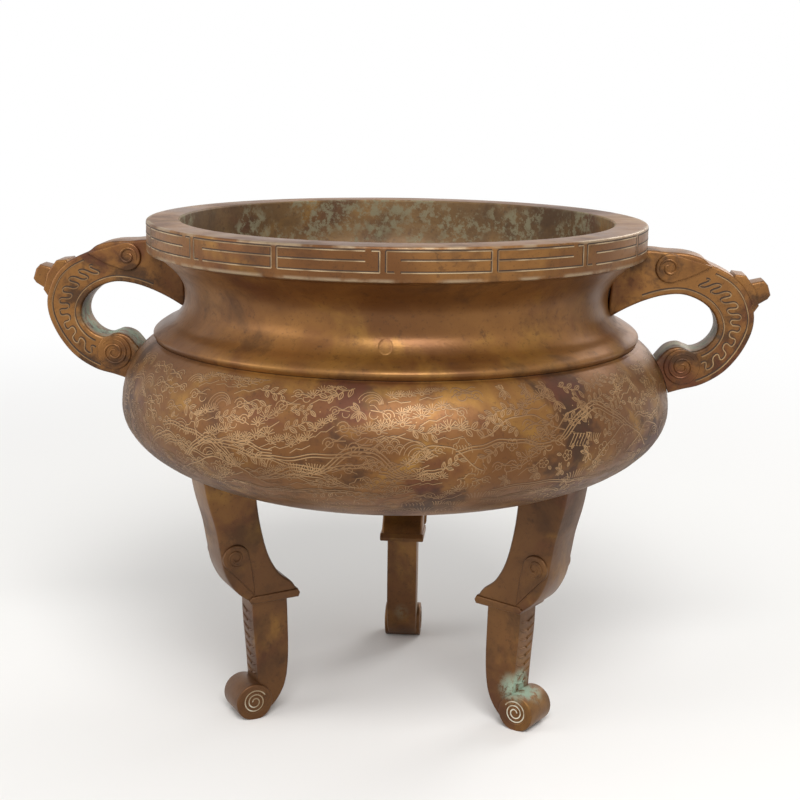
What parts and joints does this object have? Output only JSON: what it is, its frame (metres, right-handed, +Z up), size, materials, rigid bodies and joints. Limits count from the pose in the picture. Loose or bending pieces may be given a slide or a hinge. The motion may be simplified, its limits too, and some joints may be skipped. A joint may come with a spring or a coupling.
{
  "type": "incense burner",
  "caption": "Bronze tripod incense burner with a squat round belly, waisted neck, wide flat lip, curled loop handles and slender legs on scroll feet.",
  "frame": {"origin": "on the floor, on the bowl's axis, under the middle of the vessel", "axes": "+Z up along the vessel's axis, +X towards the right-hand handle, -Y towards the front with two legs"},
  "size_m": [0.3578, 0.2664, 0.241],
  "materials": {
    "bowl_bronze": "brown patinated bronze, satin, with fine incised lighter line work",
    "neck_bronze": "brown patinated bronze, satin, grey-green mineral deposits inside",
    "plug_bronze": "brown patinated bronze, satin",
    "handle_bronze": "brown patinated bronze, satin, pale verdigris in the loop",
    "leg_bronze": "brown patinated bronze, satin, pale verdigris by the foot",
    "rivet_bronze": "darkened bronze, hammered head"
  },
  "bodies": {
    "root": {"bowl": "bowl_bronze", "neck_and_lip": "neck_bronze", "neck_core_plug": "plug_bronze", "leg_front_left": "leg_bronze", "leg_front_left_rivet": "rivet_bronze", "leg_front_left_washer": "rivet_bronze", "leg_front_right": "leg_bronze", "leg_front_right_rivet": "rivet_bronze", "leg_front_right_washer": "rivet_bronze", "leg_rear": "leg_bronze", "leg_rear_rivet": "rivet_bronze", "leg_rear_washer": "rivet_bronze", "handle_right": "handle_bronze", "handle_right_upper_rivet": "rivet_bronze", "handle_right_lower_rivet": "rivet_bronze", "handle_left": "handle_bronze", "handle_left_upper_rivet": "rivet_bronze", "handle_left_lower_rivet": "rivet_bronze"}
  },
  "joints": []
}
